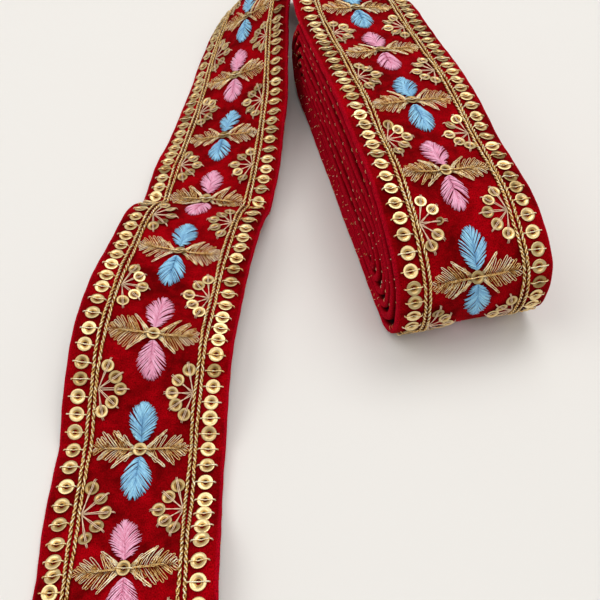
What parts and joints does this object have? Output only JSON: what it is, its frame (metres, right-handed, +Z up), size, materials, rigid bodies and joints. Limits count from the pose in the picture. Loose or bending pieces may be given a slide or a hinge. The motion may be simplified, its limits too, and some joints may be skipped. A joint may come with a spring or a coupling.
{
  "type": "roll of embroidered lace trim",
  "caption": "Flat-wound roll of red velvet trim with gold corded borders, sequins and crossed flowers. Its loose end turns round in a standing loop and lies in low waves beside the roll.",
  "frame": {"origin": "on the table, under the middle of the whole part's box", "axes": "+Z up from the table; +Y along the roll, away from its near rounded end and towards the loop; +X across the roll, away from the loose end"},
  "size_m": [0.1868, 0.3384, 0.056],
  "materials": {
    "velvet": "deep red short-pile velvet, matt with a soft sheen at its edges",
    "backing": "dull plain-woven dark red back of the velvet",
    "gold_thread": "metallised antique-gold thread, twisted and looped",
    "gold_sequin": "cupped antique-gold sequins, satin metallic",
    "blue_silk": "light blue satin embroidery thread",
    "pink_silk": "pink satin embroidery thread"
  },
  "bodies": {
    "root": {"roll": "velvet", "loose_end": "velvet"}
  },
  "joints": []
}
